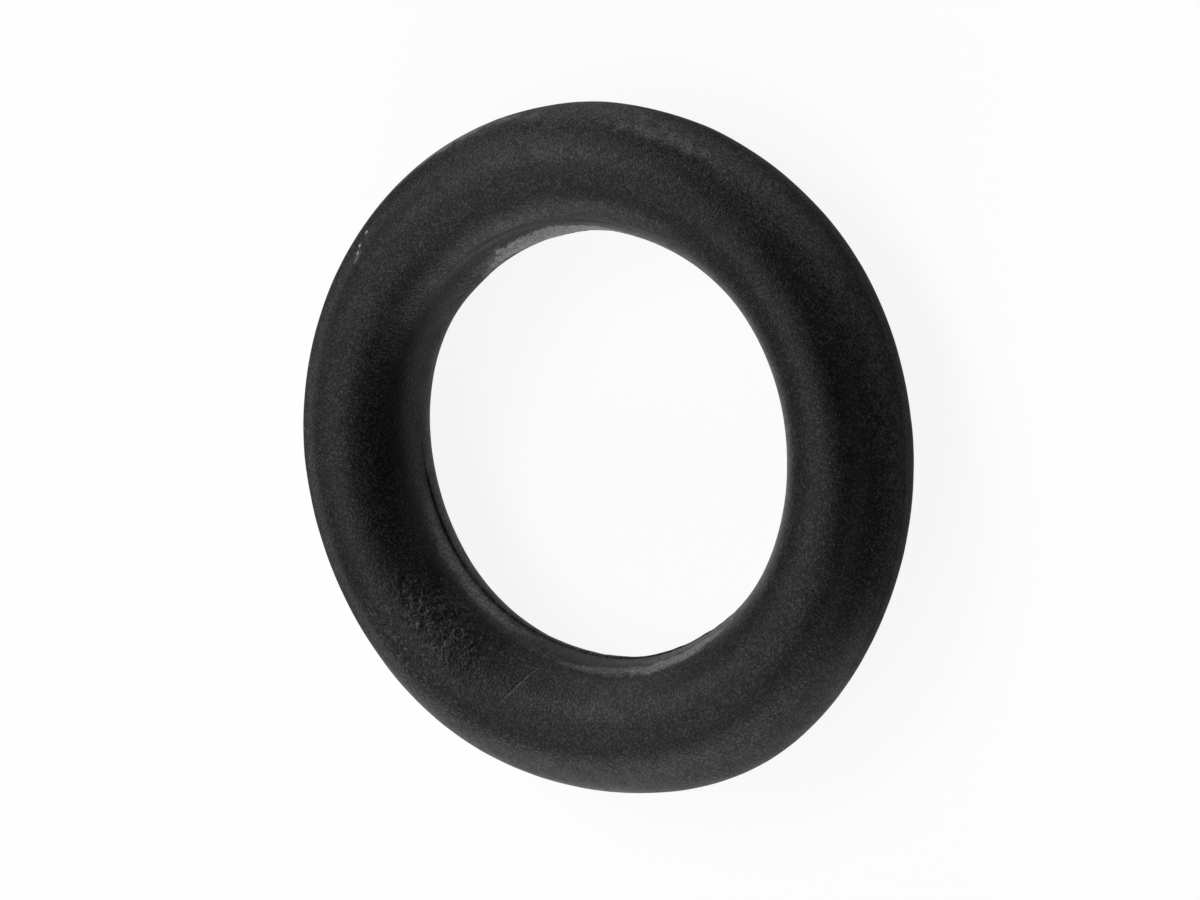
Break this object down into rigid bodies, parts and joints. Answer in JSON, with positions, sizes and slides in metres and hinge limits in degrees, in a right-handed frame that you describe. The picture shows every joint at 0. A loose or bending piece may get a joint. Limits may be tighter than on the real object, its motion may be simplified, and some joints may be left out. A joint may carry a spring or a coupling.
{
  "type": "o-ring",
  "caption": "Moulded black rubber sealing ring of round section, with the fine trimmed ridge of the mould line round its hole and its outside.",
  "frame": {"origin": "on the ring's axis, at the level of the surface it lies on", "axes": "+Z along the ring's axis, up out of the hole; X and Y in the plane of the ring"},
  "size_m": [0.019, 0.019, 0.0035],
  "materials": {
    "rubber": "matt moulded black rubber, fine grain, lightly scuffed"
  },
  "bodies": {
    "root": {"o_ring": "rubber"}
  },
  "joints": []
}
